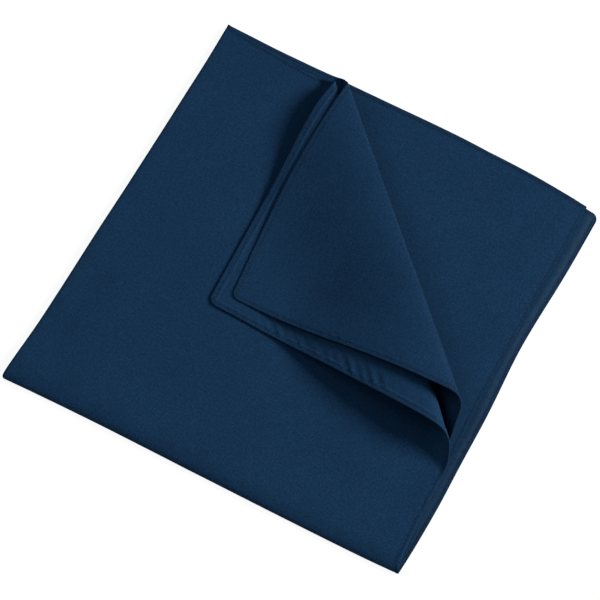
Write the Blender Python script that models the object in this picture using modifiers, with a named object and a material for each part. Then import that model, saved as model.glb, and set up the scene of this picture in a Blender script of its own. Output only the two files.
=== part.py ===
"""A plain cotton bandana, folded in quarters and lying flat, with a corner turned back.

A square cloth of 550 mm is folded twice into four layers of about 275 mm. The layers are
counted from the top, 1 to 4. X runs along the front fold and Y along the left fold:

    back (free, hemmed edges)
    +-----------+
    |           |   The left side is the first fold, a crisp one. It joins layer 1 to 2
    |           |   and layer 3 to 4. The front side is the second fold, a fuller one,
    |           |   which joins layer 1 to 4 round the outside. The back and right sides
    +-----------+   are free. The free corner of layers 1 and 2 rises in a cone-like roll
    front fold      and lies back over the middle, layer 2 on top of layer 1.

Layers 3 and 4 are one solid, grooved between the layers along the free edges. Layers 1
and 2 are walls, each bent round the roll. The cloth rests on Z = 0.
"""
import math

import bmesh
import bpy

MM = 0.001

# The cloth as a stack of walls, with the gap that parts neighbours.
WALL = 1.0 * MM
GAP = 0.3 * MM
LAYER_PITCH = WALL + GAP
LAYERS = 4
LOWER_TOP = 2 * WALL + GAP
COTTON = (0.0100, 0.0305, 0.0705, 1.0)
COTTON_ROUGHNESS = 0.85

# Middle of the part's box, measured from the middle of the square. It becomes the origin.
BOX_MIDDLE = (1.29 * MM, -0.97 * MM)

# The sides of the folded square in mm from its middle. A cloth folded by hand isn't square,
# and its layers don't quite meet. "at" is the place along a side, in X or in Y.
LEFT_FOLD = {
    "at": (-145, -122, -90, -28, 36, 100, 145),
    "fold": (-138.5, -137.3, -136.1, -135.2, -134.1, -133.4, -133.8),
}
FRONT_FOLD = {
    "at": (-140, -120, -97, -62, 0, 60, 112, 140),
    "fold": (-143.3, -142.4, -141.6, -140.8, -140.1, -139.3, -138.2, -136.9),
}
BACK_EDGE = {
    "at": (-134, -118, -98, -62, -20, 42, 90, 150),
    1: (139.6, 137.0, 135.4, 133.2, 135.5, 137.9, 135.5, 131.1),
    2: (139.6, 139.2, 138.8, 139.2, 140.2, 141.6, 139.1, 133.4),
    3: (139.2, 139.0, 138.8, 139.0, 139.6, 140.0, 138.4, 133.4),
    4: (140.0, 139.9, 139.8, 140.3, 140.8, 141.2, 139.5, 134.0),
}
RIGHT_EDGE = {
    "at": (-142, -117, -87, -58, -20, 30, 90, 150),
    1: (135.8, 134.2, 133.2, 132.2, 131.9, 131.5, 132.8, 134.6),
    2: (136.0, 134.6, 133.6, 130.3, 129.2, 129.4, 133.1, 137.9),
    3: (136.4, 135.7, 134.2, 132.4, 130.8, 130.8, 131.1, 131.4),
    4: (137.2, 138.7, 139.5, 139.2, 139.1, 137.4, 140.1, 141.2),
}
FREE_CORNER_RADIUS = {1: 7.0 * MM, 2: 6.0 * MM, 3: 1.0 * MM, 4: 8.0 * MM}

# Rounded side of the front fold: layer 1 bulges over the stack before it turns down.
FRONT_FOLD_DEPTH = 12.0 * MM
FRONT_FOLD_BULGE = 1.4 * MM
FRONT_BULGE_REACH = 45.0 * MM
# Rounded side of the left fold.
LEFT_FOLD_DEPTH = 1.8 * MM
# Height of layer 1's folded-down rims over the lower solid.
RIM_CLEARANCE = 0.4 * MM
# How far layer 2 stays inside layer 1's folds, and its share of the front bulge.
SECOND_LEFT_INSET = 2.6 * MM
SECOND_FRONT_INSET = 3.8 * MM
SECOND_BULGE_SHARE = 0.5

# Lower solid: roundness of its rims, the groove between layers 3 and 4, and how far the
# folds stop short of the free corners.
RIM_ROUND = 0.3 * MM
GROOVE_DEPTH = 3.0 * MM
FOLD_END_INSET = 9.0 * MM
LOWER_FRONT_ROUND = 2.4 * MM

# The crease: a line across the square, and the direction across it, towards the free corner.
CREASE_ANGLE = math.radians(43.4)
CREASE_MIDDLE = (41.2 * MM, 45.2 * MM)
ACROSS = (math.cos(CREASE_ANGLE), math.sin(CREASE_ANGLE))
ALONG = (math.sin(CREASE_ANGLE), -math.cos(CREASE_ANGLE))

# The roll in mm and degrees, at three stations along the crease: one STATION before its
# middle, its middle and one STATION past it. The cloth leaves the stack at "start", measured
# across the crease, bends up in "foot" and rises straight at the angle "slope". It bends over
# tightly in "top" and slowly in "crown", "height" above the stack. From there it comes down to
# the layer below in a wave, "descent" long. "foot", "top", "crown" and "descent" are lengths
# measured in the cloth.
STATION = 110.0 * MM
ROLL = {
    1: {
        "start": (-14.9, -11.7, -13.0),
        "height": (12.0, 15.7, 19.3),
        "slope": (57.6, 79.9, 70.8),
        "foot": (5.6, 9.0, 9.3),
        "top": (6.2, 3.1, 12.0),
        "crown": (7.2, 5.8, 7.9),
        "descent": (89.7, 83.4, 97.2),
    },
    2: {
        "start": (-6.2, -7.8, -11.5),
        "height": (15.5, 20.4, 26.6),
        "slope": (82.5, 66.5, 48.4),
        "foot": (9.3, 9.0, 9.9),
        "top": (5.8, 4.7, 13.6),
        "crown": (10.4, 9.9, 10.6),
        "descent": (100.7, 98.9, 113.2),
    },
}
# The part of the turn that the slow bend over the top makes.
CROWN_TURN = math.radians(15)
# The wave that the cloth comes down in: the drop is the polynomial u^2 (6 - 8u + 3u^2) of
# the share u of the descent. Half the wave's squared slope, summed up, is what its plan
# length lacks. Both are given as powers of u with their factors.
DESCENT_POWERS = {2: 6.0, 3: -8.0, 4: 3.0}
SHORTENING_POWERS = {3: 24.0, 4: -72.0, 5: 86.4, 6: -48.0, 7: 72.0 / 7.0}
# Height of the middle of each wall where the turned-back corner lies level.
FLAP_HEIGHT = {1: LAYERS * LAYER_PITCH + WALL / 2, 2: (LAYERS + 1) * LAYER_PITCH + WALL / 2}

# Mesh steps. The end stretches of the roll are so many times the cloth in its half turn.
FOOT_STEPS = 3
TOP_STEPS = 6
CROWN_STEPS = 2
FLAP_STEPS = 10
BACK_END_STEPS = 8
BACK_END_STRETCH = 1.5
MIDDLE_STEPS = 8
RIGHT_END_STEPS = 10
RIGHT_END_STRETCH = 1.3
CORNER_SHARES = (-1.0, -0.6, -0.2, 0.2, 0.6, 1.0)
CORNER_CLEARANCE = 1.3
FRONT_FOLD_STEPS = 6
LEFT_FOLD_STEPS = 3
BULGE_STEPS = 4
PANEL_COLUMNS = 7
RING_STEPS = {"back": 14, "corner": 5, "right": 14, "front": 8, "left": 8}

SEARCH_REACH = 0.3
SEARCH_STEPS = 40
WELD_DISTANCE = 0.00001
SHARP_ANGLE = math.radians(40)


def mix(a, b, share):
    return a + (b - a) * share


def layer_middle(layer):
    """Height of the middle of a flat layer's wall."""
    return (LAYERS - layer) * LAYER_PITCH + WALL / 2


# ---------------------------------------------------------------- outline of the square

def side(table, row, place):
    """Distance out at a place along a side: a smooth curve through a row of its table."""
    places, values = table["at"], table[row]
    place = min(max(place / MM, places[0]), places[-1])
    last = len(places) - 1
    i = max(k for k in range(last) if places[k] <= place)
    before, after = max(i - 1, 0), min(i + 2, last)
    slope0 = (values[i + 1] - values[before]) / (places[i + 1] - places[before])
    slope1 = (values[after] - values[i]) / (places[after] - places[i])
    span = places[i + 1] - places[i]
    t = (place - places[i]) / span
    near = (1 + 2 * t) * (1 - t) ** 2 * values[i] + t * (1 - t) ** 2 * span * slope0
    far = t * t * (3 - 2 * t) * values[i + 1] + t * t * (t - 1) * span * slope1
    return (near + far) * MM


def left_fold(y):
    return side(LEFT_FOLD, "fold", y)


def front_fold(x):
    return side(FRONT_FOLD, "fold", x)


def back_edge(layer, x):
    return side(BACK_EDGE, layer, x)


def right_edge(layer, y):
    return side(RIGHT_EDGE, layer, y)


def free_corner(layer):
    """Where the back and right edges of a layer would meet if the corner were sharp."""
    y = BACK_EDGE[layer][-1] * MM
    for _ in range(SEARCH_STEPS):
        x = right_edge(layer, y)
        y = back_edge(layer, x)
    return x, y


# ---------------------------------------------------------------- the turned-back corner

def at_station(values, v):
    """Value at v along the crease: a parabola through the values at the three stations."""
    back, middle, right = values
    t = v / STATION
    return middle + (right - back) / 2 * t + (right + back - 2 * middle) / 2 * t * t


def roll_size(layer, name, v):
    """One length of a layer's roll at v along the crease."""
    return at_station(ROLL[layer][name], v) * MM


def roll_bends(layer, v):
    """The half turn at v: the cloth in each bend, and its angle at the bend's two ends."""
    slope = math.radians(at_station(ROLL[layer]["slope"], v))
    level = math.pi - CROWN_TURN
    foot = (roll_size(layer, "foot", v), 0.0, slope)
    top = (roll_size(layer, "top", v), slope, level)
    crown = (roll_size(layer, "crown", v), level, math.pi)
    risen = sum(cloth * (math.cos(a) - math.cos(b)) / (b - a) for cloth, a, b in (foot, top, crown))
    straight = max((roll_size(layer, "height", v) - risen) / math.sin(slope), 0.0)
    return [foot, (straight, slope, slope), top, crown]


def half_turn(layer, v):
    """Cloth in the half turn at v."""
    return sum(cloth for cloth, _, _ in roll_bends(layer, v))


def crease_point(v, s):
    """The flat point at v along the crease and s across it."""
    x = CREASE_MIDDLE[0] + v * ALONG[0] + s * ACROSS[0]
    y = CREASE_MIDDLE[1] + v * ALONG[1] + s * ACROSS[1]
    return x, y


def crease_place(x, y):
    """(v, s) of a flat point."""
    dx = x - CREASE_MIDDLE[0]
    dy = y - CREASE_MIDDLE[1]
    return dx * ALONG[0] + dy * ALONG[1], dx * ACROSS[0] + dy * ACROSS[1]


def bend_step(cloth, begin, end, used):
    """How far the used part of a bend goes across and up."""
    if begin == end:
        return used * math.cos(begin), used * math.sin(begin)
    rate = (end - begin) / cloth
    angle = begin + rate * used
    return (math.sin(angle) - math.sin(begin)) / rate, (math.cos(begin) - math.cos(angle)) / rate


def powers(factors, share):
    """The sum of powers of a share, each with its factor."""
    return sum(factor * share ** power for power, factor in factors.items())


def turned_back(layer, v, s):
    """Point of the cloth that lay at (v, s), once the corner has been turned back."""
    across = roll_size(layer, "start", v)
    height = layer_middle(layer)
    left = max(s - across, 0.0)
    for cloth, begin, end in roll_bends(layer, v):
        used = min(left, cloth)
        over, up = bend_step(cloth, begin, end, used)
        across += over
        height += up
        left -= used
    if left > 0:
        drop = height - FLAP_HEIGHT[layer]
        descent = roll_size(layer, "descent", v)
        share = min(left / descent, 1.0)
        across -= left - powers(SHORTENING_POWERS, share) * drop ** 2 / descent
        height -= drop * powers(DESCENT_POWERS, share)
    x, y = crease_point(v, across)
    return x, y, height


def crease_end(layer, edge):
    """v where the line that the cloth leaves the stack on meets the back or right edge."""
    outer = -SEARCH_REACH if edge == "back" else SEARCH_REACH
    inner = 0.0
    for _ in range(SEARCH_STEPS):
        v = (outer + inner) / 2
        x, y = crease_point(v, roll_size(layer, "start", v))
        outside = y > back_edge(layer, x) if edge == "back" else x > right_edge(layer, y)
        outer, inner = (v, inner) if outside else (outer, v)
    return inner


def reach_across(layer, v):
    """s at which the line of constant v runs off the layer, past its rounded corner."""
    low = roll_size(layer, "start", v)
    high = low + SEARCH_REACH
    corner_x, corner_y = free_corner(layer)
    radius = FREE_CORNER_RADIUS[layer]
    for _ in range(SEARCH_STEPS):
        s = (low + high) / 2
        x, y = crease_point(v, s)
        past_x = x - (corner_x - radius)
        past_y = y - (corner_y - radius)
        outside = y > back_edge(layer, x) or x > right_edge(layer, y)
        if past_x > 0 and past_y > 0:
            outside = outside or math.hypot(past_x, past_y) > radius
        low, high = (low, s) if outside else (s, high)
    return low


def crease_stations(layer):
    """Values of v from the back edge to the right edge, closer together at both ends."""
    back = crease_end(layer, "back")
    right = crease_end(layer, "right")
    first = back + BACK_END_STRETCH * half_turn(layer, back)
    last = right - RIGHT_END_STRETCH * half_turn(layer, right)
    values = [mix(back, first, i / BACK_END_STEPS) for i in range(BACK_END_STEPS)]
    values += [mix(first, last, i / MIDDLE_STEPS) for i in range(MIDDLE_STEPS)]
    values += [mix(last, right, i / RIGHT_END_STEPS) for i in range(RIGHT_END_STEPS + 1)]
    corner_v, _ = crease_place(*free_corner(layer))
    radius = FREE_CORNER_RADIUS[layer]
    values = [v for v in values if abs(v - corner_v) > CORNER_CLEARANCE * radius]
    values += [corner_v + radius * share for share in CORNER_SHARES]
    return sorted(values)


def across_steps(layer, v):
    """Values of s along a line of constant v, from the stack to the layer's edge.

    A line that ends soon after the half turn, or in it, takes shorter steps in it.
    """
    foot, straight, top, crown = (cloth for cloth, _, _ in roll_bends(layer, v))
    turn = [foot * i / FOOT_STEPS for i in range(FOOT_STEPS + 1)]
    turn += [foot + straight + top * i / TOP_STEPS for i in range(TOP_STEPS)]
    turn += [foot + straight + top + crown * i / CROWN_STEPS for i in range(CROWN_STEPS + 1)]
    start = roll_size(layer, "start", v)
    edge = reach_across(layer, v)
    steps = len(turn) - 1
    share = min(1.0, (edge - start) * steps / (steps + FLAP_STEPS) / turn[-1])
    values = [start + share * place for place in turn]
    values += [mix(values[-1], edge, i / FLAP_STEPS) for i in range(1, FLAP_STEPS + 1)]
    return values


# ---------------------------------------------------------------- flat parts of the walls

def fold_share(depth, distance):
    """0 at the outermost line of a rounded fold and 1 where the cloth is level again."""
    if distance >= depth:
        return 1.0
    return math.sqrt(max(1 - (1 - distance / depth) ** 2, 0.0))


def fold_places(depth, steps):
    """Distances from a fold's outermost line, spaced evenly round its quarter turn."""
    return [depth * (1 - math.cos(math.pi / 2 * i / steps)) for i in range(steps)]


def bulge(distance):
    """Rise of the cloth over the stack at a distance from the front fold."""
    past = (distance - FRONT_FOLD_DEPTH) / (FRONT_BULGE_REACH - FRONT_FOLD_DEPTH)
    past = min(max(past, 0.0), 1.0)
    return FRONT_FOLD_BULGE * (1 + math.cos(math.pi * past)) / 2


def panel_height(layer, from_left, from_front):
    """Height of the middle of layer 1's or 2's wall, by its distances from the folds."""
    if layer == 2:
        inside = fold_share(FRONT_FOLD_DEPTH, max(from_front - SECOND_FRONT_INSET, 0.0))
        return layer_middle(2) + SECOND_BULGE_SHARE * bulge(from_front) * inside
    rim = LOWER_TOP + RIM_CLEARANCE
    top = layer_middle(1) + bulge(from_front)
    inside = fold_share(FRONT_FOLD_DEPTH, from_front) * fold_share(LEFT_FOLD_DEPTH, from_left)
    return rim + (top - rim) * inside


def front_places(layer):
    """Distances of the panel's first rows from the front fold's outermost line."""
    if layer == 1:
        places = fold_places(FRONT_FOLD_DEPTH, FRONT_FOLD_STEPS)
    else:
        places = [SECOND_FRONT_INSET]
    steps = range(BULGE_STEPS + 1)
    return places + [mix(FRONT_FOLD_DEPTH, FRONT_BULGE_REACH, i / BULGE_STEPS) for i in steps]


def bow(edge, first, last, share):
    """How far a side curves off its chord, at a share of the way along it."""
    return edge(mix(first, last, share)) - mix(edge(first), edge(last), share)


def panel_row(layer, left, right, front_bow, back_bow):
    """Points (x, y, distance from the left fold) of one row of the panel.

    The row bends with the front fold and with the back edge by the two shares.
    """
    if layer == 1:
        columns = [left[0] + place for place in fold_places(LEFT_FOLD_DEPTH, LEFT_FOLD_STEPS)]
        level = left[0] + LEFT_FOLD_DEPTH
    else:
        columns = []
        level = left[0]
    columns += [mix(level, right[0], i / PANEL_COLUMNS) for i in range(PANEL_COLUMNS + 1)]
    points = []
    for x in columns:
        share = (x - left[0]) / (right[0] - left[0])
        y = mix(left[1], right[1], share)
        y += front_bow * bow(front_fold, left[0], right[0], share)
        y += back_bow * bow(lambda place: back_edge(layer, place), left[0], right[0], share)
        points.append((x, y, x - left[0]))
    return points


def panel_grid(layer, stations):
    """Points of the flat part of layer 1 or 2, row by row from the front fold."""
    left_inset = WALL / 2 if layer == 1 else SECOND_LEFT_INSET
    grid = []
    for place in front_places(layer):
        left_x = left_fold(front_fold(-SEARCH_REACH)) + left_inset
        left_y = front_fold(left_x) + WALL / 2 + place
        left_x = left_fold(left_y) + left_inset
        right_y = front_fold(SEARCH_REACH) + WALL / 2 + place
        right_x = right_edge(layer, right_y)
        right_y = front_fold(right_x) + WALL / 2 + place
        row = panel_row(layer, (left_x, left_y), (right_x, right_y), 1.0, 0.0)
        grid.append([(x, y, panel_height(layer, inside, place)) for x, y, inside in row])
    first_left, first_right = left_y, right_y
    last_left = back_edge(layer, left_fold(SEARCH_REACH) + left_inset)
    crease = [crease_point(v, roll_size(layer, "start", v)) for v in reversed(stations)]
    last_right = crease[-1][1]
    for right in crease:
        share = (right[1] - first_right) / (last_right - first_right)
        left_y = mix(first_left, last_left, share)
        left = (left_fold(left_y) + left_inset, left_y)
        row = panel_row(layer, left, right, (1 - share) ** 2, share ** 2)
        grid.append([(x, y, panel_height(layer, inside, FRONT_BULGE_REACH)) for x, y, inside in row])
    return grid


# ---------------------------------------------------------------- meshes

def add_grid(mesh, grid):
    """Add a grid of points to a bmesh as quads."""
    rows = [[mesh.verts.new(point) for point in line] for line in grid]
    for near, far in zip(rows, rows[1:]):
        for i in range(len(near) - 1):
            mesh.faces.new((near[i], near[i + 1], far[i + 1], far[i]))


def new_object(name, mesh, material, collection):
    """Make an object of a bmesh, with the middle of the part's box as the origin."""
    bmesh.ops.remove_doubles(mesh, verts=mesh.verts, dist=WELD_DISTANCE)
    bmesh.ops.recalc_face_normals(mesh, faces=mesh.faces)
    bmesh.ops.translate(mesh, verts=mesh.verts, vec=(-BOX_MIDDLE[0], -BOX_MIDDLE[1], 0.0))
    data = bpy.data.meshes.new(name)
    mesh.to_mesh(data)
    mesh.free()
    data.shade_smooth()
    data.set_sharp_from_angle(angle=SHARP_ANGLE)
    data.materials.append(material)
    thing = bpy.data.objects.new(name, data)
    collection.objects.link(thing)
    return thing


def bent_layer(name, layer, material, collection):
    """Layer 1 or 2: the flat part, the roll and the turned-back corner, in one wall."""
    stations = crease_stations(layer)
    mesh = bmesh.new()
    add_grid(mesh, panel_grid(layer, stations))
    add_grid(mesh, [[turned_back(layer, v, s) for s in across_steps(layer, v)] for v in stations])
    thing = new_object(name, mesh, material, collection)
    wall = thing.modifiers.new("wall", "SOLIDIFY")
    wall.thickness = WALL
    wall.offset = 0.0
    wall.use_even_offset = True
    return thing


def lower_ring(layer, height, free_inset):
    """Outline of the lower solid at one height, from the left back corner round.

    Along the folds all the rings of one height share their points.
    """
    half = LOWER_TOP / 2
    left_inset = half - math.sqrt(max(half ** 2 - (height - half) ** 2, 0.0))
    front_inset = LOWER_FRONT_ROUND * (1 - fold_share(LOWER_TOP, height))
    corner_x, corner_y = free_corner(layer)
    bend = max(FREE_CORNER_RADIUS[layer] - free_inset, 0.0)
    centre_x = corner_x - free_inset - bend
    centre_y = corner_y - free_inset - bend
    ring = []
    left_x = left_fold(corner_y) + left_inset + free_inset
    for i in range(RING_STEPS["back"]):
        x = mix(left_x, centre_x, i / RING_STEPS["back"])
        ring.append((x, back_edge(layer, x) - free_inset))
    for i in range(RING_STEPS["corner"] + 1):
        angle = math.pi / 2 * (1 - i / RING_STEPS["corner"])
        ring.append((centre_x + bend * math.cos(angle), centre_y + bend * math.sin(angle)))
    front_y = front_fold(corner_x) + front_inset + free_inset
    for i in range(1, RING_STEPS["right"] + 1):
        y = mix(centre_y, front_y, i / RING_STEPS["right"])
        ring.append((right_edge(layer, y) - free_inset, y))
    fold_x, fold_y = (place - FOLD_END_INSET for place in free_corner(4))
    left_x = left_fold(front_fold(-fold_x)) + left_inset
    for i in range(RING_STEPS["front"]):
        x = mix(fold_x, left_x, i / RING_STEPS["front"])
        ring.append((x, front_fold(x) + front_inset))
    front_y = front_fold(left_x) + front_inset
    for i in range(RING_STEPS["left"] + 1):
        y = mix(front_y, fold_y, i / RING_STEPS["left"])
        ring.append((left_fold(y) + left_inset, y))
    return [(x, y, height) for x, y in ring]


def lower_layers(name, material, collection):
    """Layers 3 and 4 as one solid: rounded at the folds, grooved along the free edges."""
    rims = (0.0, RIM_ROUND, WALL - RIM_ROUND, WALL)
    rings = []
    for layer, base in ((4, 0.0), (3, LAYER_PITCH)):
        for rise in rims:
            rings.append(lower_ring(layer, base + rise, RIM_ROUND if rise in (0.0, WALL) else 0.0))
        if layer == 4:
            rings += [lower_ring(3, height, GROOVE_DEPTH) for height in (WALL, LAYER_PITCH)]
    mesh = bmesh.new()
    rows = [[mesh.verts.new(point) for point in ring] for ring in rings]
    count = len(rows[0])
    for low, high in zip(rows, rows[1:]):
        for i in range(count):
            following = (i + 1) % count
            mesh.faces.new((low[i], low[following], high[following], high[i]))
    mesh.faces.new(rows[0])
    mesh.faces.new(rows[-1])
    return new_object(name, mesh, material, collection)


def cotton(name):
    """Matt dyed cotton."""
    material = bpy.data.materials.new(name)
    material.use_nodes = True
    shader = material.node_tree.nodes["Principled BSDF"]
    shader.inputs["Base Color"].default_value = COTTON
    shader.inputs["Roughness"].default_value = COTTON_ROUGHNESS
    shader.inputs["Metallic"].default_value = 0.0
    material.diffuse_color = COTTON
    return material


def main():
    for thing in list(bpy.data.objects):
        bpy.data.objects.remove(thing, do_unlink=True)
    collection = bpy.data.collections.new("bandana")
    bpy.context.scene.collection.children.link(collection)
    lower_layers("lower_layers", cotton("lower_cotton"), collection)
    bent_layer("second_layer", 2, cotton("second_cotton"), collection)
    bent_layer("top_layer", 1, cotton("top_cotton"), collection)


main()
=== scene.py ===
"""A plain dark blue cotton bandana, folded in quarters and lying flat, with a corner turned back.

The cloth is one square of 550 mm. Its four layers are counted from the top, 1 to 4. Layers 1
and 2 meet in the left fold, and so do layers 3 and 4. In the front fold layer 1 goes round
the outside to layer 4, and layer 2 round the inside to layer 3. The free corner of layers 1
and 2 rises in a roll and lies back over the middle. Lengths here are in mm, measured from the
middle of the folded square, until a mesh is made.
"""
import math

import bpy
import numpy as np
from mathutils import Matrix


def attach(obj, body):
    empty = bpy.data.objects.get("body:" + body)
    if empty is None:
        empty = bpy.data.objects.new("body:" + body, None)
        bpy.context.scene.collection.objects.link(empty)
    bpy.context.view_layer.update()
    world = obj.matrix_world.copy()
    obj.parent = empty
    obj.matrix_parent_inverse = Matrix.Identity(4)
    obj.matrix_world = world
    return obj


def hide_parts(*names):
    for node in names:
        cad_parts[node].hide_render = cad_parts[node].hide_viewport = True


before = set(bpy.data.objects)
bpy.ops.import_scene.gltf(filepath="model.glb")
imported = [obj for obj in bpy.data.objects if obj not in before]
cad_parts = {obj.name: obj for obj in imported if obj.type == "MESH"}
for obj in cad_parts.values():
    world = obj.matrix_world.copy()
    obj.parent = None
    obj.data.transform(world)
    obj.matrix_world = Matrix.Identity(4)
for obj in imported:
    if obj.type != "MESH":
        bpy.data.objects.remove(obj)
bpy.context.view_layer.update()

RANDOM = np.random.default_rng(7)

# ------------------------------------------------------------------ sizes of the folded cloth

SIDE = 275.0
BOX_MIDDLE = (1.29, -0.97)

# For each layer: the height of its middle, the height of the front fold that it goes round, the
# layer that it meets in the left fold, and whether the cloth's face is up.
LAYER_Z = {1: 4.4, 2: 3.1, 3: 1.8, 4: 0.22}
LOOP_Z = {1: 2.0, 4: 2.0, 2: 2.45, 3: 2.45}
PARTNER = {1: 2, 2: 1, 3: 4, 4: 3}
FACE_UP = {1: True, 2: False, 3: True, 4: False}

# The four sides of the folded square: x or y of a fold or of a layer's edge, at places along it.

LEFT_FOLD = {
    "at": (-145, -122, -90, -28, 36, 100, 145),
    "fold": (-138.5, -137.3, -136.1, -135.2, -134.1, -133.4, -133.8),
}
FRONT_FOLD = {
    "at": (-140, -120, -97, -62, 0, 60, 112, 140),
    "fold": (-143.3, -142.4, -141.6, -140.8, -140.1, -139.3, -138.2, -136.9),
}
BACK_EDGE = {
    "at": (-134, -118, -98, -62, -20, 42, 90, 150),
    1: (139.6, 137.0, 135.4, 133.2, 138.0, 137.9, 136.4, 133.1),
    2: (139.6, 139.2, 138.8, 139.2, 141.6, 143.7, 141.0, 135.6),
    3: (139.2, 139.0, 138.8, 139.0, 139.6, 140.0, 139.0, 134.0),
    4: (140.0, 139.9, 139.8, 140.3, 140.8, 141.2, 138.4, 132.7),
}
RIGHT_EDGE = {
    "at": (-142, -117, -87, -58, -20, 30, 90, 150),
    1: (135.8, 134.2, 133.2, 133.1, 132.4, 132.9, 132.8, 134.1),
    2: (136.0, 134.6, 133.6, 128.2, 130.1, 132.5, 136.1, 137.8),
    3: (136.4, 135.7, 134.2, 132.4, 130.8, 130.8, 131.1, 131.4),
    4: (137.2, 138.7, 139.5, 139.2, 139.1, 137.4, 140.1, 141.2),
}
CORNER_RADIUS = {1: 7.0, 2: 6.0, 3: 1.0, 4: 5.0}

# The folds: how deep each rounded side is, and how far layers 2 and 3 stay inside. Behind the
# front fold the upper layers bulge a little.
FRONT_DEPTH = {1: 12.0, 4: 3.0, 2: 2.2, 3: 2.2}
FRONT_INSET = {1: 0.2, 4: 0.2, 2: 3.8, 3: 3.8}
FRONT_JOIN = 6.0
BULGE = {1: 1.4, 2: 0.7, 3: 0.0, 4: 0.0}
BULGE_FROM = 12.0
BULGE_REACH = 45.0
LEFT_DEPTH = 1.8
LEFT_REACH = 3.0

# The crease: a line across the square, and the direction across it, towards the free corner.
CREASE_ANGLE = math.radians(43.4)
CREASE_MIDDLE = (41.2, 45.2)
ACROSS = (math.cos(CREASE_ANGLE), math.sin(CREASE_ANGLE))
ALONG = (math.sin(CREASE_ANGLE), -math.cos(CREASE_ANGLE))

# The roll, at three stations along the crease. The cloth leaves the stack at "start", bends up
# in "foot" and rises straight at the angle "slope", in degrees. It bends over tightly in "top"
# and slowly in "crown", "height" above the stack, and comes down in a wave, "descent" long. The
# bends are a little tighter than those of the solids.
STATION = 110.0
ROLL = {
    1: {
        "start": (-14.9, -11.7, -13.0), "height": (12.0, 15.7, 19.3), "slope": (57.6, 79.9, 70.8),
        "foot": (5.6, 9.0, 9.3), "top": (4.6, 2.8, 12.0), "crown": (5.2, 4.5, 5.9),
        "descent": (89.7, 83.4, 97.2),
    },
    2: {
        "start": (-6.2, -7.8, -11.5), "height": (15.5, 20.4, 26.6), "slope": (82.5, 66.5, 48.4),
        "foot": (9.3, 9.0, 9.9), "top": (3.6, 3.2, 13.6), "crown": (5.5, 5.0, 5.6),
        "descent": (100.7, 98.9, 113.2),
    },
}
CROWN_TURN = math.radians(8)

# The descent grows by this share from one place along the crease to another.
DESCENT_GROWTH = 0.45
GROWTH_FROM = 5.0
GROWTH_TO = 70.0

# The wave that the cloth comes down in, as the polynomial u^2 (6 - 8u + 3u^2) of its share u,
# and the polynomial of half its squared slope, by which it is shorter seen from above.
DESCENT_POWERS = {2: 6.0, 3: -8.0, 4: 3.0}
SHORTENING_POWERS = {3: 24.0, 4: -72.0, 5: 86.4, 6: -48.0, 7: 72.0 / 7.0}

# The height of the turned-back flap, once the wave has come down.
FLAP_Z = {1: 5.15, 2: 6.15}

# The cloth's thickness, and the width of the turned hem, what it adds, its step and its round rim.
CLOTH = 0.36
HEM_WIDTH = 4.0
HEM_EXTRA = 0.42
HEM_STEP = 1.2
RIM = 0.4

# The cloth sags between its hems. Layer 3 hangs over the right edge of layer 4, and the hem of
# layer 4 is only a soft ridge. The lower edge of layer 2's flap stands off layer 1.
SAG = 0.35
DRAPE = 0.70
SOFT_HEM = 0.30
LIFT = 1.2

# The stitches, the line that they sink in, and how the hem puffs up beside it.
STITCH_LINE = 2.5
STITCH_PITCH = 2.5
STITCH_LENGTH = 2.05
STITCH_FROM = 3.0
STITCH_DRIFT = 0.12
THREAD = 0.17
GROOVE = 0.12
GROOVE_WIDTH = 0.4
PUFF = 0.07

# The puckers of all hems: their slant, lengths, size, and how the size varies along the hem.
PUCKER_SLANT = 0.7
PUCKER_LENGTHS = (5.3, 6.6, 8.9)
PUCKER = 0.06
PUCKER_VARIES = 0.05
VARYING_LENGTHS = (41.0, 67.0)

# The stronger row of puckers below the flap, on the wrong side of layer 1.
ROW_SLANT = 0.9
ROW_LENGTHS = (7.9, 8.9, 13.7)
ROW_PUCKER = 0.40

# Slow waves that the stack shares: height, direction, length and phase.
SLOW_SHARE = {1: 1.0, 2: 1.0, 3: 0.6, 4: 0.0}
SLOW_WAVES = (
    (0.16, 0.8, 0.6, 71, 0.6),
    (0.13, -0.5, 0.85, 47, 2.1),
    (0.09, 0.95, -0.3, 33, 4.4),
)

# Shares by which the colour is made darker: along the stitch line and on the hem; painted shade on
# the outer rims of the lower layers, on the two folds, and where layer 2 is steep.
STITCH_SHADE = 0.22
HEM_SHADE = 0.10
RIM_SHADE = 0.22
LEFT_FOLD_SHADE = 0.30
FRONT_FOLD_SHADE = 0.18
STEEP_SHADE = 0.26


def curve(table, row, place):
    """A smooth curve through a row of a table, held at its ends."""
    at = np.array(table["at"], float)
    value = np.array(table[row], float)
    place = np.clip(place, at[0], at[-1])
    last = len(at) - 1
    i = np.clip(np.searchsorted(at, place, side="right") - 1, 0, last - 1)
    before = np.maximum(i - 1, 0)
    after = np.minimum(i + 2, last)
    slope0 = (value[i + 1] - value[before]) / (at[i + 1] - at[before])
    slope1 = (value[after] - value[i]) / (at[after] - at[i])
    span = at[i + 1] - at[i]
    t = (place - at[i]) / span
    near = (1 + 2 * t) * (1 - t) ** 2 * value[i] + t * (1 - t) ** 2 * span * slope0
    far = t * t * (3 - 2 * t) * value[i + 1] + t * t * (t - 1) * span * slope1
    return near + far


def smooth(low, high, value):
    """0 below one value, 1 above another, with a smooth step between."""
    t = np.clip((value - low) / (high - low), 0, 1)
    return t * t * (3 - 2 * t)


def quarter(depth, distance):
    """0 on the outermost line of a rounded fold, 1 where the cloth is level again."""
    t = np.clip(distance / depth, 0, 1)
    return np.sqrt(np.maximum(1 - (1 - t) ** 2, 0))


def waves(place, periods, seed):
    """Uneven waves along a line, between about -1 and 1."""
    rng = np.random.default_rng(seed)
    total = np.zeros_like(place)
    for period in periods:
        total += np.sin(2 * math.pi * place / period + rng.uniform(0, 2 * math.pi))
    return total / len(periods)


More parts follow.
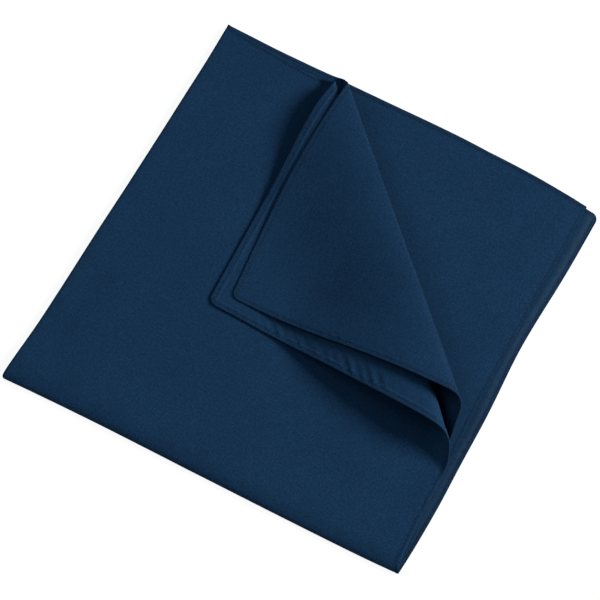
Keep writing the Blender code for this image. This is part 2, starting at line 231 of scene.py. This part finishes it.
def flat_place(layer, c, d):
    """Flat point (x, y) of a layer, c from the left fold and d from the front fold."""
    x = c - SIDE / 2
    y = d - SIDE / 2
    joined = smooth(0, FRONT_JOIN, d)
    outer = 4 if layer in (1, 4) else 3
    for _ in range(8):
        left = curve(LEFT_FOLD, "fold", y) + CLOTH / 2
        right = curve(RIGHT_EDGE, layer, y) * joined + curve(RIGHT_EDGE, outer, y) * (1 - joined)
        front = curve(FRONT_FOLD, "fold", x) + FRONT_INSET[layer]
        back = curve(BACK_EDGE, layer, x)
        x = left + (right - left) * c / SIDE
        y = front + (back - front) * d / SIDE
    return x, y


def round_corner(layer, c, d):
    """Pull the grid's free corner in to a round one."""
    radius = CORNER_RADIUS[layer]
    p = np.maximum(radius - (SIDE - c), 0)
    q = np.maximum(radius - (SIDE - d), 0)
    far = np.maximum(p, q)
    away = np.hypot(p, q)
    share = np.where(away > 0, far / np.where(away > 0, away, 1), 1)
    both = (p > 0) & (q > 0)
    c = np.where(both, SIDE - radius + p * share, c)
    d = np.where(both, SIDE - radius + q * share, d)
    return c, d


def at_station(values, v):
    """The parabola through a size's values at the three stations."""
    back, middle, right = values
    t = v / STATION
    return middle + (right - back) / 2 * t + (right + back - 2 * middle) / 2 * t * t


def follow_bend(place, used, cloth, begin, end):
    """Move along a bend that turns from one angle to another in so much cloth."""
    rate = (end - begin) / cloth
    angle = begin + rate * used
    across = place[0] + (np.sin(angle) - np.sin(begin)) / rate
    return across, place[1] + (np.cos(begin) - np.cos(angle)) / rate


def turned_back(layer, x, y, z):
    """Bend the part of a layer beyond its crease up, over and back."""
    dx = x - CREASE_MIDDLE[0]
    dy = y - CREASE_MIDDLE[1]
    v = dx * ALONG[0] + dy * ALONG[1]
    s = dx * ACROSS[0] + dy * ACROSS[1]
    size = {name: at_station(values, v) for name, values in ROLL[layer].items()}
    growth = 1 + DESCENT_GROWTH * smooth(GROWTH_FROM, GROWTH_TO, v)
    size["descent"] = size["descent"] * growth
    slope = np.radians(size["slope"])
    level = math.pi - CROWN_TURN
    bends = (
        (size["foot"], 0.0, slope),
        (size["top"], slope, level),
        (size["crown"], level, math.pi),
    )
    risen = sum(cloth * (np.cos(a) - np.cos(b)) / (b - a) for cloth, a, b in bends)
    straight = np.maximum((size["height"] - risen) / np.sin(slope), 0)
    past = np.maximum(s - size["start"], 0)

    # The foot's bend, then the straight rise, then the two bends on top.
    place = follow_bend((size["start"], 0.0), np.minimum(past, size["foot"]), *bends[0])
    begun = size["foot"]
    used = np.clip(past - begun, 0, straight)
    place = (place[0] + used * np.cos(slope), place[1] + used * np.sin(slope))
    settled = smooth(0, 1, past / (begun + straight))
    begun = begun + straight
    for bend in bends[1:]:
        place = follow_bend(place, np.clip(past - begun, 0, bend[0]), *bend)
        begun = begun + bend[0]
    across, height = place
    height = height + LAYER_Z[layer] + (z - LAYER_Z[layer]) * (1 - settled)

    # The wave down.
    run = np.maximum(past - begun, 0)
    drop = LAYER_Z[layer] + risen + straight * np.sin(slope) - FLAP_Z[layer]
    share = np.minimum(run / size["descent"], 1)
    shorter = sum(k * share ** n for n, k in SHORTENING_POWERS.items())
    shorter = shorter * drop ** 2 / size["descent"]
    across = across - (run - shorter)
    height = height - drop * sum(k * share ** n for n, k in DESCENT_POWERS.items())
    bent = past > 0
    x_bent = CREASE_MIDDLE[0] + v * ALONG[0] + across * ACROSS[0]
    y_bent = CREASE_MIDDLE[1] + v * ALONG[1] + across * ACROSS[1]
    return np.where(bent, x_bent, x), np.where(bent, y_bent, y), np.where(bent, height, z)


def panel(layer, c, d):
    """The layer before the left fold is closed."""
    x, y = flat_place(layer, c, d)
    loop = LOOP_Z[layer]
    past = np.clip((d - BULGE_FROM) / (BULGE_REACH - BULGE_FROM), 0, 1)
    bulge = BULGE[layer] * (1 + np.cos(math.pi * past)) / 2
    z = loop + (LAYER_Z[layer] + bulge - loop) * quarter(FRONT_DEPTH[layer], d)
    inside = np.minimum(SIDE - c, SIDE - d)
    if layer < 4:
        z = z - SAG * smooth(HEM_WIDTH - 0.5, 16, inside) * smooth(6, 30, d) * smooth(2, 20, c)
    if layer == 3:
        bare = curve(RIGHT_EDGE, 4, y) - curve(RIGHT_EDGE, 3, y)
        z = z - DRAPE * smooth(3.0, 8.0, bare) * (1 - smooth(1.0, 15.0, SIDE - c))
    if layer < 3:
        x, y, z = turned_back(layer, x, y, z)
    if layer == 2:
        beside = smooth(125, 165, d) * (1 - smooth(240, 268, d))
        z = z + LIFT * beside * (1 - smooth(0.0, 30.0, SIDE - c))
    return np.stack([x, y, z], -1)


def surface(layer, c, d):
    """Middle of the cloth of a layer, with its folds, waves and creases."""
    own = panel(layer, c, d)
    close = quarter(LEFT_DEPTH, c)[..., None]
    other = panel(PARTNER[layer], np.minimum(c, LEFT_REACH), d)
    near = (c < LEFT_REACH)[..., None]
    joined = (own + other) / 2 + close * (own - other) / 2
    point = np.where(near, joined, own)
    point[..., 2] += rise(layer, point[..., 0], point[..., 1])
    return point


def rise(layer, x, y):
    """Slow waves that the whole stack shares."""
    total = np.zeros_like(x)
    for height, over_x, over_y, length, phase in SLOW_WAVES:
        total += height * np.sin(2 * math.pi * (over_x * x + over_y * y) / length + phase)
    return SLOW_SHARE[layer] * total


def normals(layer, c, d):
    """Upward normals of a layer's surface."""
    step = 0.02
    c0, c1 = np.maximum(c - step, 0), np.minimum(c + step, SIDE)
    d0, d1 = np.maximum(d - step, 0), np.minimum(d + step, SIDE)
    over_c = surface(layer, c1, d) - surface(layer, c0, d)
    over_d = surface(layer, c, d1) - surface(layer, c, d0)
    normal = np.cross(over_c, over_d)
    return normal / np.linalg.norm(normal, axis=-1, keepdims=True)


def along_edge(c, d):
    """Distance along the free edges, from the left fold round to the front fold."""
    back_side = (SIDE - d) < (SIDE - c)
    return np.where(back_side, c, SIDE + (SIDE - d))


def pucker(layer, c, d):
    """Small slanting puckers that the hem's stitching draws."""
    inside = np.minimum(SIDE - c, SIDE - d)
    along = along_edge(c, d)
    shape = waves(along + PUCKER_SLANT * inside, PUCKER_LENGTHS, 20 + layer)
    window = smooth(0.0, 1.0, inside) * (1 - smooth(4.0, 9.0, inside))
    size = PUCKER + PUCKER_VARIES * waves(along, VARYING_LENGTHS, 40 + layer)
    total = size * shape * window
    if layer == 1:
        deep = waves(along + ROW_SLANT * inside, ROW_LENGTHS, 94)
        begun = smooth(SIDE + 20, SIDE + 55, along)
        ended = smooth(SIDE + 120, SIDE + 160, along)
        window = smooth(0.5, 4.0, inside) * (1 - smooth(8.0, 17.0, inside))
        total = total + ROW_PUCKER * deep * begun * (1 - ended) * window
    return total


def offsets(layer, c, d):
    """Distance from the cloth's middle to its face and to its wrong side."""
    inside = np.minimum(SIDE - c, SIDE - d)
    hem = HEM_EXTRA * (1 - smooth(HEM_WIDTH - 0.05, HEM_WIDTH + HEM_STEP, inside))
    if layer == 4:
        hem = SOFT_HEM * smooth(0.3, 4.6, inside) * (1 - smooth(5.0, 8.6, inside))
    dip = np.exp(-((inside - STITCH_LINE) / GROOVE_WIDTH) ** 2)
    puff = PUFF * np.sin(math.pi * np.clip(inside / STITCH_LINE, 0, 1))
    face = CLOTH / 2 + puff - GROOVE * dip
    wrong = CLOTH / 2 + hem + puff - GROOVE * dip
    centre = (face - wrong) / 2
    half = (face + wrong) / 2
    t = np.clip(inside / RIM, 0, 1)
    round_rim = np.sqrt(np.maximum(1 - (1 - t) ** 2, 0))
    return centre + half * round_rim, half * round_rim - centre


def grid_lines(fold, fine_from, coarse, fine):
    """Places from a fold to a free edge: close in the fold and in the hem."""
    fold = list(fold)
    edge = [7.8, 6.6, 5.7, 5.2, 4.8, 4.4, 4.0, 3.7, 3.3, 3.0, 2.75, 2.5, 2.25, 2.0, 1.6, 1.2,
            0.8, 0.42, 0.25, 0.12, 0.03, 0.0]
    last = SIDE - 9.0
    count = max(int(round((fine_from - fold[-1]) / coarse)), 1)
    places = fold[:-1] + list(np.linspace(fold[-1], fine_from, count, endpoint=False))
    count = int(round((last - fine_from) / fine))
    places += list(np.linspace(fine_from, last, count, endpoint=False)) + [last]
    return np.array(places + [SIDE - e for e in edge])


def fold_lines(depth, count):
    """Places across a rounded fold, closest at its outermost line."""
    return depth * (1 - np.cos(math.pi / 2 * np.arange(count + 1) / count))


def layer_grid(layer):
    """The grid of places (c, d) that a layer's mesh has."""
    left = fold_lines(LEFT_DEPTH, 6)
    front = fold_lines(FRONT_DEPTH[layer], 12 if layer == 1 else 7)
    coarse, fine, c_from, d_from = {
        1: (2.6, 1.4, 72.0, 66.0), 2: (3.2, 1.4, 72.0, 66.0),
        3: (3.0, 2.0, 90.0, 60.0), 4: (4.0, 3.0, 60.0, 60.0)}[layer]
    columns = grid_lines(left, c_from, coarse, fine)
    rows = grid_lines(front, d_from, coarse, fine)
    c, d = np.meshgrid(columns, rows)
    return round_corner(layer, c, d)


# ------------------------------------------------------------------ meshes

def to_metres(points):
    """From mm in the cloth's own frame to metres in the part's frame."""
    moved = points - np.array([BOX_MIDDLE[0], BOX_MIDDLE[1], 0.0])
    return moved * 0.001


def add_object(name, points, faces, point_normals, flat, material):
    """A mesh from arrays, with its normals and its place in the flat cloth."""
    mesh = bpy.data.meshes.new(name)
    mesh.from_pydata(to_metres(points).tolist(), [], faces)
    mesh.update()
    mesh.shade_smooth()
    if point_normals is not None:
        mesh.normals_split_custom_set_from_vertices(point_normals.tolist())
    for key, values in flat.items():
        kind = "FLOAT_VECTOR" if values.ndim == 2 else "FLOAT"
        layer = mesh.attributes.new(key, kind, "POINT")
        layer.data.foreach_set("vector" if values.ndim == 2 else "value", values.ravel())
    mesh.materials.append(material)
    thing = bpy.data.objects.new(name, mesh)
    bpy.context.scene.collection.objects.link(thing)
    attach(thing, "root")
    return thing


def cloth_layer(layer, name, material):
    """One layer of the folded cloth: face, wrong side and rounded hem rim in one closed shell."""
    c, d = layer_grid(layer)
    middle = surface(layer, c, d)
    normal = normals(layer, c, d)
    middle = middle + normal * pucker(layer, c, d)[..., None]

    # Normals once more, from the puckered surface, by steps in the grid's own directions.
    step = 0.05
    c1, d1 = np.minimum(c + step, SIDE), np.minimum(d + step, SIDE)
    c0, d0 = np.maximum(c - step, 0), np.maximum(d - step, 0)

    def puckered(cc, dd):
        return surface(layer, cc, dd) + normal * pucker(layer, cc, dd)[..., None]

    lit = np.cross(puckered(c1, d) - puckered(c0, d), puckered(c, d1) - puckered(c, d0))
    lit /= np.linalg.norm(lit, axis=-1, keepdims=True)
    face, wrong = offsets(layer, c, d)
    up, down = (face, wrong) if FACE_UP[layer] else (wrong, face)
    upper = middle + normal * up[..., None]
    lower = middle - normal * down[..., None]

    # Slope of the two sides across the hem, for their shading.
    inside = np.minimum(SIDE - c, SIDE - d)
    gap = 0.02
    toward = np.where((SIDE - c < SIDE - d)[..., None],
                      surface(layer, np.maximum(c - gap, 0), d) - middle,
                      surface(layer, c, np.maximum(d - gap, 0)) - middle)
    inward = toward / np.maximum(np.linalg.norm(toward, axis=-1, keepdims=True), 1e-9)
    slope_c = np.where(SIDE - c < SIDE - d, 1.0, 0.0)
    further_c = np.where(slope_c > 0, c - gap, c)
    further_d = np.where(slope_c > 0, d, d - gap)
    face2, wrong2 = offsets(layer, further_c, further_d)
    up2, down2 = (face2, wrong2) if FACE_UP[layer] else (wrong2, face2)
    up_slope = np.clip((up2 - up) / gap, -12, 12)[..., None]
    down_slope = np.clip((down2 - down) / gap, -12, 12)[..., None]
    inward = inward - lit * np.sum(inward * lit, -1, keepdims=True)
    inward /= np.maximum(np.linalg.norm(inward, axis=-1, keepdims=True), 1e-9)
    near_edge = (inside < 8)[..., None]
    upper_lit = np.where(near_edge, lit - inward * up_slope, lit)
    lower_lit = np.where(near_edge, -lit - inward * down_slope, -lit)
    upper_lit /= np.linalg.norm(upper_lit, axis=-1, keepdims=True)
    lower_lit /= np.linalg.norm(lower_lit, axis=-1, keepdims=True)

    rows, columns = c.shape
    count = rows * columns
    top_id = np.arange(count).reshape(rows, columns)
    low_id = top_id + count
    # The two sides meet on the free edges.
    low_id[-1, :] = top_id[-1, :]
    low_id[:, -1] = top_id[:, -1]
    quads = []

    def skin(ids, flip):
        a, b = ids[:-1, :-1].ravel(), ids[:-1, 1:].ravel()
        e, f = ids[1:, 1:].ravel(), ids[1:, :-1].ravel()
        order = (a, f, e, b) if flip else (a, b, e, f)
        quads.extend(np.stack(order, -1).tolist())

    skin(top_id, False)
    skin(low_id, True)
    for top_line, low_line, flip in ((top_id[0, :], low_id[0, :], True),
                                     (top_id[:, 0], low_id[:, 0], False)):
        for i in range(len(top_line) - 1):
            face4 = [top_line[i], top_line[i + 1], low_line[i + 1], low_line[i]]
            face4 = [int(k) for k in dict.fromkeys(face4)]
            quads.append(face4[::-1] if flip else face4)
    points = np.concatenate([upper.reshape(-1, 3), lower.reshape(-1, 3)])
    points[:, 2] = np.maximum(points[:, 2], 0)
    lit_all = np.concatenate([upper_lit.reshape(-1, 3), lower_lit.reshape(-1, 3)])
    rim_points = np.zeros((rows, columns), bool)
    rim_points[-1, :] = True
    rim_points[:, -1] = True
    outward = -inward
    lit_all[:count][rim_points.ravel()] = outward[rim_points]

    # For the material: the place in the flat cloth, where the colour is darker, partly as painted
    # shade, and the pale band on layer 4's right hem, partly faded and partly painted sheen.
    x, y = flat_place(layer, c, d)
    place = np.stack([x, y, np.full_like(x, layer * 40.0)], -1).reshape(-1, 3)
    place = np.concatenate([place, place])
    shade = -STITCH_SHADE * np.exp(-((inside - STITCH_LINE) / 0.6) ** 2)
    shade = shade - HEM_SHADE * (1 - smooth(2.6, 4.4, inside))
    if layer == 3:
        shade = shade * np.where(SIDE - c < SIDE - d, 0.15, 1.0)
    # Painted shade where layer 2 is steep: darker on the crest of its roll and inside the opening
    # below it.
    if layer == 2:
        shade = shade - STEEP_SHADE * smooth(0.02, 0.22, 1 - np.abs(normal[..., 2]))
    # Painted shade on the outer rims of the lower layers: a dark line along the crevice under
    # their edges.
    if layer > 2:
        shade = shade - RIM_SHADE * np.exp(-(inside / 1.3) ** 2)
    # Painted shade on the outermost lines of the left and front folds, where the cloth turns away
    # from the light.
    shade = shade - LEFT_FOLD_SHADE * np.exp(-(c / 1.3) ** 2)
    shade = shade - FRONT_FOLD_SHADE * np.exp(-(d / 2.0) ** 2)
    # The pale band along layer 4's right hem, stronger towards the back: partly faded cloth,
    # partly painted sheen where the hem faces the key lamp.
    faded_and_sheen = np.zeros_like(c)
    if layer == 4:
        from_right = SIDE - c
        faded_and_sheen = np.exp(-((from_right - 4.4) / 2.2) ** 2) * (0.65 + 0.35 * smooth(150, 270, d))
    shade = np.concatenate([shade.ravel(), shade.ravel()])
    faded_and_sheen = np.concatenate([faded_and_sheen.ravel(), faded_and_sheen.ravel()])

    # Drop the unused lower copies of the rim's points.
    used = np.ones(2 * count, bool)
    used[count:][rim_points.ravel()] = False
    new_id = np.cumsum(used) - 1
    faces = [[int(new_id[k]) for k in quad] for quad in quads]
    flat = {"cloth_place": place[used], "shade": shade[used], "faded_and_sheen": faded_and_sheen[used]}
    return add_object(name, points[used], faces, lit_all[used], flat, material)


def stitch_path(layer, along):
    """(c, d) on the stitch line at a distance along it, and round the corner."""
    radius = max(CORNER_RADIUS[layer] - STITCH_LINE, 0.0)
    straight = SIDE - STITCH_LINE - radius
    bend = radius * math.pi / 2
    angle = np.clip((along - straight) / max(radius, 1e-6), 0, math.pi / 2)
    c = np.where(along < straight, along, straight + radius * np.sin(angle))
    d = np.where(along < straight, SIDE - STITCH_LINE, straight + radius * np.cos(angle))
    past = along - straight - bend
    d = np.where(past > 0, straight - past, d)
    total = 2 * straight + bend
    return c, d, total


def stitches(layer, name, material):
    """The row of stitches on both sides of a layer's hem."""
    _, _, total = stitch_path(layer, np.array([0.0]))
    count = int((total - 2 * STITCH_FROM) / STITCH_PITCH)
    sections, around = 5, 6
    points, faces, place = [], [], []
    share = np.linspace(0, 1, sections)
    begin = STITCH_FROM + np.arange(count) * STITCH_PITCH
    begin = begin + RANDOM.uniform(-STITCH_DRIFT, STITCH_DRIFT, count)
    along = begin[:, None] + share[None, :] * STITCH_LENGTH
    c, d, _ = stitch_path(layer, along)
    normal = normals(layer, c, d)
    middle = surface(layer, c, d) + normal * pucker(layer, c, d)[..., None]
    run = np.gradient(middle, axis=1)
    run /= np.linalg.norm(run, axis=-1, keepdims=True)
    aside = np.cross(normal, run)
    face, wrong = offsets(layer, c, d)
    up, down = (face, wrong) if FACE_UP[layer] else (wrong, face)
    for side, thick in ((1, up), (-1, down)):
        lift = THREAD * (-0.9 + 1.2 * np.sin(math.pi * share))[None, :]
        centre = middle + side * normal * (thick + lift)[..., None]
        size = THREAD * (0.55 + 0.45 * np.sin(math.pi * share))[None, :, None, None]
        angle = 2 * math.pi * np.arange(around) / around
        ring = (aside[:, :, None, :] * np.cos(angle)[None, None, :, None]
                + normal[:, :, None, :] * np.sin(angle)[None, None, :, None])
        tube = centre[:, :, None, :] + ring * size
        tube[..., 2] = np.maximum(tube[..., 2], 0)
        base = sum(len(p) for p in points)
        points.append(tube.reshape(-1, 3))
        x, y = flat_place(layer, c, d)
        flat = np.stack([x, y, np.full_like(x, layer * 40.0 + side)], -1)
        place.append(np.repeat(flat.reshape(-1, 3), around, axis=0))
        ids = base + np.arange(count * sections * around).reshape(count, sections, around)
        turned = np.roll(ids, -1, axis=2)
        quad = np.stack([ids[:, :-1], turned[:, :-1], turned[:, 1:], ids[:, 1:]], -1)
        faces.extend(quad.reshape(-1, 4).tolist())
        faces.extend(ids[:, 0, ::-1].tolist())
        faces.extend(ids[:, -1, :].tolist())
    points = np.concatenate(points)
    flat = {"cloth_place": np.concatenate(place)}
    return add_object(name, points, faces, None, flat, material)


# ------------------------------------------------------------------ materials

# Linear colours: the cloth's, what the pale band on layer 4's hem adds (partly fading, partly
# painted sheen), and the sewing thread's.
BLUE = (0.0061, 0.0263, 0.0628, 1.0)
FADED_AND_SHEEN = (0.0085, 0.0110, 0.0095)
THREAD_BLUE = (0.0055, 0.0240, 0.0580, 1.0)

# The distance between two yarns in mm, and how strongly yarns, slubs, grain and dye show.
YARN_PITCH = 0.42
WEAVE = 0.05
SLUB = 0.7
GRAIN = 1.5
DYE = 0.25


class Nodes:
    """Short calls to add nodes to a material."""

    def __init__(self, material):
        material.use_nodes = True
        self.tree = material.node_tree
        self.shader = self.tree.nodes["Principled BSDF"]

    def add(self, kind, **settings):
        node = self.tree.nodes.new(kind)
        for key, value in settings.items():
            setattr(node, key, value)
        return node

    def link(self, source, target):
        self.tree.links.new(source, target)

    def math(self, operation, a, b=None):
        node = self.add("ShaderNodeMath", operation=operation)
        for socket, value in zip(node.inputs, (a, b)):
            if value is None:
                continue
            if isinstance(value, (int, float)):
                socket.default_value = value
            else:
                self.link(value, socket)
        return node.outputs[0]

    def noise(self, place, scale, detail=2.0, rough=0.5):
        node = self.add("ShaderNodeTexNoise", noise_dimensions="3D")
        node.inputs["Scale"].default_value = scale
        node.inputs["Detail"].default_value = detail
        node.inputs["Roughness"].default_value = rough
        self.link(place, node.inputs["Vector"])
        return node.outputs["Fac"]

    def stretched(self, place, scale):
        node = self.add("ShaderNodeVectorMath", operation="MULTIPLY")
        self.link(place, node.inputs[0])
        node.inputs[1].default_value = scale
        return node.outputs[0]


def cotton(name):
    """Plain-weave dyed cotton: yarns, slubs, mottled dye, darker seams, painted shade on folds and
    rims, a pale band partly faded, partly painted sheen.
    """
    material = bpy.data.materials.new(name)
    nodes = Nodes(material)
    place = nodes.add("ShaderNodeAttribute", attribute_name="cloth_place").outputs["Vector"]
    shade = nodes.add("ShaderNodeAttribute", attribute_name="shade").outputs["Fac"]
    faded_and_sheen = nodes.add("ShaderNodeAttribute", attribute_name="faded_and_sheen").outputs["Fac"]
    parts = nodes.add("ShaderNodeSeparateXYZ")
    nodes.link(place, parts.inputs[0])
    yarn = 2 * math.pi / YARN_PITCH
    warp = nodes.math("SINE", nodes.math("MULTIPLY", parts.outputs[0], yarn))
    weft = nodes.math("SINE", nodes.math("MULTIPLY", parts.outputs[1], yarn))
    weave = nodes.math("MULTIPLY", warp, weft)
    slub_x = nodes.noise(nodes.stretched(place, (2.6, 0.14, 0.5)), 1.0, 2.0)
    slub_y = nodes.noise(nodes.stretched(place, (0.14, 2.6, 0.5)), 1.0, 2.0)
    grain = nodes.noise(nodes.stretched(place, (0.75, 0.75, 0.5)), 1.0, 3.0, 0.65)
    dye = nodes.noise(nodes.stretched(place, (0.03, 0.03, 0.5)), 1.0, 3.0, 0.6)

    def centred(value, size):
        return nodes.math("MULTIPLY", nodes.math("SUBTRACT", value, 0.5), size)

    factor = nodes.math("ADD", centred(slub_x, SLUB), centred(slub_y, SLUB))
    factor = nodes.math("ADD", factor, centred(grain, GRAIN))
    factor = nodes.math("ADD", factor, centred(dye, DYE))
    factor = nodes.math("ADD", factor, nodes.math("MULTIPLY", weave, WEAVE))
    factor = nodes.math("ADD", factor, shade)
    factor = nodes.math("ADD", factor, 1.0)
    tint = nodes.add("ShaderNodeVectorMath", operation="SCALE")
    tint.inputs[0].default_value = BLUE[:3]
    nodes.link(factor, tint.inputs["Scale"])
    pale = nodes.add("ShaderNodeVectorMath", operation="SCALE")
    pale.inputs[0].default_value = FADED_AND_SHEEN
    nodes.link(faded_and_sheen, pale.inputs["Scale"])
    both = nodes.add("ShaderNodeVectorMath", operation="ADD")
    nodes.link(tint.outputs[0], both.inputs[0])
    nodes.link(pale.outputs[0], both.inputs[1])
    nodes.link(both.outputs[0], nodes.shader.inputs["Base Color"])
    height = nodes.math("ADD", nodes.math("MULTIPLY", weave, 0.5), centred(slub_x, 2.0))
    height = nodes.math("ADD", height, centred(slub_y, 2.0))
    bump = nodes.add("ShaderNodeBump")
    bump.inputs["Strength"].default_value = 0.25
    bump.inputs["Distance"].default_value = 0.00006
    nodes.link(height, bump.inputs["Height"])
    nodes.link(bump.outputs[0], nodes.shader.inputs["Normal"])
    rough = nodes.math("ADD", nodes.math("MULTIPLY", grain, 0.12), 0.80)
    nodes.link(rough, nodes.shader.inputs["Roughness"])
    nodes.shader.inputs["Specular IOR Level"].default_value = 0.05
    nodes.shader.inputs["Sheen Weight"].default_value = 0.03
    nodes.shader.inputs["Sheen Roughness"].default_value = 0.5
    nodes.shader.inputs["Sheen Tint"].default_value = (0.35, 0.6, 1.0, 1.0)
    material.diffuse_color = BLUE
    return material


def thread(name):
    """Sewing thread, a little darker than the cloth, with a fine twist."""
    material = bpy.data.materials.new(name)
    nodes = Nodes(material)
    place = nodes.add("ShaderNodeAttribute", attribute_name="cloth_place").outputs["Vector"]
    fibre = nodes.noise(nodes.stretched(place, (4.0, 4.0, 0.5)), 1.0, 2.0)
    factor = nodes.math("ADD", nodes.math("MULTIPLY", fibre, 0.5), 0.75)
    tint = nodes.add("ShaderNodeVectorMath", operation="SCALE")
    tint.inputs[0].default_value = THREAD_BLUE[:3]
    nodes.link(factor, tint.inputs["Scale"])
    nodes.link(tint.outputs[0], nodes.shader.inputs["Base Color"])
    nodes.shader.inputs["Roughness"].default_value = 0.6
    nodes.shader.inputs["Specular IOR Level"].default_value = 0.2
    material.diffuse_color = THREAD_BLUE
    return material


def light_table(name):
    """A white table lit from below, so that the cloth's shadow on it stays faint."""
    material = bpy.data.materials.new(name)
    nodes = Nodes(material)
    nodes.shader.inputs["Base Color"].default_value = (0.10, 0.10, 0.10, 1.0)
    nodes.shader.inputs["Roughness"].default_value = 0.9
    nodes.shader.inputs["Specular IOR Level"].default_value = 0.1
    nodes.shader.inputs["Emission Color"].default_value = (1.0, 1.0, 1.0, 1.0)
    nodes.shader.inputs["Emission Strength"].default_value = 0.92
    return material


# ------------------------------------------------------------------ the bandana

# For each layer: its cloth, its stitching, the slot of its material, and the nodes it stands for.
LAYERS = {
    1: ("top_cloth", "top_stitching", "top_cotton", ("top_layer",)),
    2: ("second_cloth", "second_stitching", "second_cotton", ("second_layer",)),
    3: ("third_cloth", "third_stitching", "lower_cotton", ("lower_layers",)),
    4: ("bottom_cloth", "bottom_stitching", "lower_cotton", ("lower_layers",)),
}

thread_material = thread("sewing_thread")
for number, (cloth_name, stitch_name, slot_name, nodes_replaced) in LAYERS.items():
    cloth_layer(number, cloth_name, cotton(cloth_name + "_cotton"))
    stitches(number, stitch_name, thread_material)
    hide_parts(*nodes_replaced)

# ------------------------------------------------------------------ floor, light and camera

bpy.ops.mesh.primitive_plane_add(size=8.0, location=(0, 0, -0.0001))
floor = bpy.context.object
floor.name = "floor"
floor.data.materials.append(light_table("light_table"))

WORLD_LIGHT = 0.035
scene = bpy.context.scene
scene.view_settings.view_transform = "Standard"
world = bpy.data.worlds.new("studio")
scene.world = world
world.use_nodes = True
world.node_tree.nodes["Background"].inputs[0].default_value = (1.0, 1.0, 1.0, 1.0)
world.node_tree.nodes["Background"].inputs[1].default_value = WORLD_LIGHT

# Three soft lamps round the cloth, all at one distance in metres: azimuth and elevation in
# degrees, size in metres, power in watts and colour.
LAMP_DISTANCE = 2.6
LAMPS = {
    "key": (33.0, 31.0, 1.0, 106.5, (1.0, 1.0, 1.0)),
    "fill": (177.0, 42.0, 1.9, 24.6, (0.82, 0.96, 1.06)),
    "side": (300.0, 25.0, 1.3, 10.9, (0.90, 0.98, 1.03)),
}


def add_lamp(name, azimuth, elevation, size, power, colour):
    """A round area lamp that points at the middle of the cloth."""
    lamp = bpy.data.lights.new(name, "AREA")
    lamp.shape = "DISK"
    lamp.size = size
    lamp.energy = power
    lamp.color = colour
    thing = bpy.data.objects.new(name, lamp)
    scene.collection.objects.link(thing)
    around, up = math.radians(azimuth), math.radians(elevation)
    level = LAMP_DISTANCE * math.cos(up)
    height = LAMP_DISTANCE * math.sin(up)
    thing.location = (level * math.cos(around), level * math.sin(around), height)
    thing.rotation_euler = (math.pi / 2 - up, 0, math.pi / 2 + around)


for lamp_name, lamp_sizes in LAMPS.items():
    add_lamp(lamp_name, *lamp_sizes)

# The camera: angles in degrees, its distance and target in metres.
CAMERA_AZIMUTH = 28.5
CAMERA_ELEVATION = 68.5
CAMERA_DISTANCE = 1.579
CAMERA_TARGET = (-0.00119, -0.00713, 0.0)
camera_data = bpy.data.cameras.new("camera")
camera_data.lens = 150.0
camera_data.sensor_width = 36.0
camera = bpy.data.objects.new("camera", camera_data)
scene.collection.objects.link(camera)
a, e = math.radians(CAMERA_AZIMUTH), math.radians(CAMERA_ELEVATION)
toward = (-math.sin(a) * math.cos(e), math.cos(a) * math.cos(e), -math.sin(e))
camera.location = tuple(t - f * CAMERA_DISTANCE for t, f in zip(CAMERA_TARGET, toward))
camera.rotation_euler = (math.pi / 2 - e, 0, a)
scene.camera = camera
